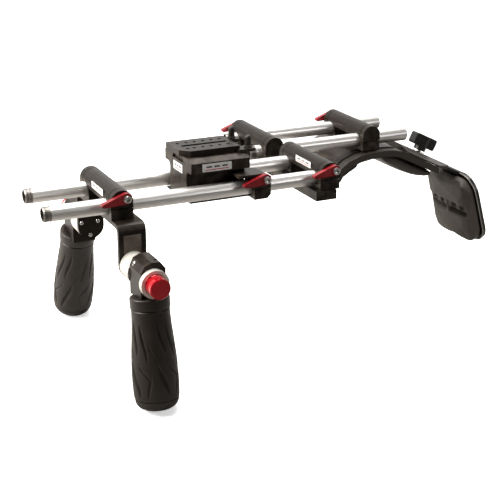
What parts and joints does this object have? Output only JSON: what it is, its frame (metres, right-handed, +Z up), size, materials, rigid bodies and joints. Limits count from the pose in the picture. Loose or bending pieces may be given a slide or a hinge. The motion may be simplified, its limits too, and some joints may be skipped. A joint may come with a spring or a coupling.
{
  "type": "camera shoulder rig",
  "caption": "Shoulder rig for a video camera: sliding camera base on rods, folding pistol grips in front, and an offset shoulder saddle with a back pad behind.",
  "frame": {"origin": "on the top face of the camera plate, on its centre line just in front of the slot", "axes": "-Y towards the lens end, +Y towards the operator's shoulder, +X to the operator's left, +Z up"},
  "size_m": [0.312, 0.5934, 0.2228],
  "materials": {
    "black_anodised": "black anodised, satin",
    "rod_metal": "satin silver anodised",
    "silver_anodised": "warm silver anodised, satin",
    "screw_steel": "bright",
    "red_anodised": "red anodised, satin",
    "red_gloss": "glossy red",
    "grip_rubber": "matt black",
    "saddle_rubber": "satin black",
    "knob_plastic": "satin black",
    "pad_foam": "dark skinned foam"
  },
  "bodies": {
    "frame": {"front_rod_left": "rod_metal", "front_rod_right": "rod_metal", "offset_base_bar": "black_anodised", "front_pair_clamp_body": "black_anodised", "rear_pair_clamp_body": "black_anodised"},
    "front_clamp": {"front_clamp_body": "black_anodised", "handle_bracket": "black_anodised", "left_barrel": "silver_anodised", "left_spindle": "screw_steel", "right_barrel": "silver_anodised", "right_spindle": "screw_steel"},
    "front_lever": {"front_clamp_lever": "red_anodised", "front_clamp_bolt": "screw_steel"},
    "left_handle": {"left_handle_arm": "black_anodised", "left_hub_ring": "silver_anodised", "left_button_spring": "screw_steel", "left_grip_sleeve": "grip_rubber", "left_grip_cap": "grip_rubber"},
    "left_button": {"left_push_button": "red_gloss"},
    "right_handle": {"right_handle_arm": "black_anodised", "right_hub_ring": "silver_anodised", "right_button_spring": "screw_steel", "right_grip_sleeve": "grip_rubber", "right_grip_cap": "grip_rubber"},
    "right_button": {"right_push_button": "red_gloss"},
    "camera_base": {"base_block": "black_anodised", "base_keeper_plate": "black_anodised", "base_clamp_body": "black_anodised"},
    "base_lever": {"base_clamp_lever": "red_anodised", "base_clamp_bolt": "screw_steel"},
    "top_plate": {"camera_plate": "black_anodised", "left_stop_post": "grip_rubber", "right_stop_post": "grip_rubber"},
    "mount_screw": {"camera_screw": "screw_steel"},
    "front_pair_lever": {"front_pair_clamp_lever": "red_anodised", "front_pair_clamp_bolt": "screw_steel"},
    "rear_pair_lever": {"rear_pair_clamp_lever": "red_anodised", "rear_pair_clamp_bolt": "screw_steel"},
    "rear_rods": {"rear_rod_left": "rod_metal", "rear_rod_right": "rod_metal"},
    "saddle": {"pad_clamp_body": "black_anodised", "saddle_shell": "saddle_rubber", "saddle_spine": "black_anodised", "front_cushion": "pad_foam", "rear_cushion": "pad_foam", "tail_cover": "saddle_rubber"},
    "pad_lever": {"pad_clamp_lever": "red_anodised", "pad_clamp_bolt": "screw_steel"},
    "back_pad": {"back_plate": "knob_plastic", "back_cushion": "pad_foam", "knob_stud": "screw_steel", "knob_washer": "screw_steel"},
    "knob": {"wing_knob": "knob_plastic"}
  },
  "joints": [
    {"name": "front_clamp_slide", "type": "slide", "parent": "frame", "child": "front_clamp", "axis": [0, 1, 0], "range_m": [-0.05, 0.025]},
    {"name": "front_lever_hinge", "type": "hinge", "parent": "front_clamp", "child": "front_lever", "pos_m": [0.045, -0.072, -0.029], "axis": [-1, 0, 0], "range_deg": [0, 110]},
    {"name": "left_handle_hinge", "type": "hinge", "parent": "front_clamp", "child": "left_handle", "pos_m": [0.083, -0.072, -0.0895], "axis": [1, 0, 0], "range_deg": [-90, 90]},
    {"name": "left_button_slide", "type": "slide", "parent": "left_handle", "child": "left_button", "axis": [-1, 0, 0], "range_m": [0, 0.004]},
    {"name": "right_handle_hinge", "type": "hinge", "parent": "front_clamp", "child": "right_handle", "pos_m": [-0.083, -0.072, -0.0895], "axis": [1, 0, 0], "range_deg": [-90, 90]},
    {"name": "right_button_slide", "type": "slide", "parent": "right_handle", "child": "right_button", "axis": [1, 0, 0], "range_m": [0, 0.004]},
    {"name": "camera_base_slide", "type": "slide", "parent": "frame", "child": "camera_base", "axis": [0, 1, 0], "range_m": [-0.03, 0.035]},
    {"name": "base_lever_hinge", "type": "hinge", "parent": "camera_base", "child": "base_lever", "pos_m": [0.044, 0.0725, -0.029], "axis": [-1, 0, 0], "range_deg": [0, 110]},
    {"name": "top_plate_slide", "type": "slide", "parent": "camera_base", "child": "top_plate", "axis": [0, 1, 0], "range_m": [-0.012, 0.012]},
    {"name": "mount_screw_slide", "type": "slide", "parent": "top_plate", "child": "mount_screw", "axis": [0, 1, 0], "range_m": [-0.02, 0.02]},
    {"name": "front_pair_lever_hinge", "type": "hinge", "parent": "frame", "child": "front_pair_lever", "pos_m": [0.045, 0.149, -0.029], "axis": [-1, 0, 0], "range_deg": [0, 110]},
    {"name": "rear_pair_lever_hinge", "type": "hinge", "parent": "frame", "child": "rear_pair_lever", "pos_m": [-0.167, 0.149, -0.033], "axis": [-1, 0, 0], "range_deg": [0, 110]},
    {"name": "rear_rods_slide", "type": "slide", "parent": "frame", "child": "rear_rods", "axis": [0, 1, 0], "range_m": [-0.04, 0.008]},
    {"name": "saddle_slide", "type": "slide", "parent": "rear_rods", "child": "saddle", "axis": [0, 1, 0], "range_m": [-0.015, 0.04]},
    {"name": "pad_lever_hinge", "type": "hinge", "parent": "saddle", "child": "pad_lever", "pos_m": [-0.167, 0.272, -0.033], "axis": [-1, 0, 0], "range_deg": [0, 110]},
    {"name": "back_pad_slide", "type": "slide", "parent": "saddle", "child": "back_pad", "axis": [0, 0.8988, -0.4384], "range_m": [-0.012, 0.012]},
    {"name": "knob_hinge", "type": "hinge", "parent": "back_pad", "child": "knob", "pos_m": [-0.122, 0.36102, -0.08437], "axis": [0, 0.4384, 0.8988], "continuous": true}
  ]
}
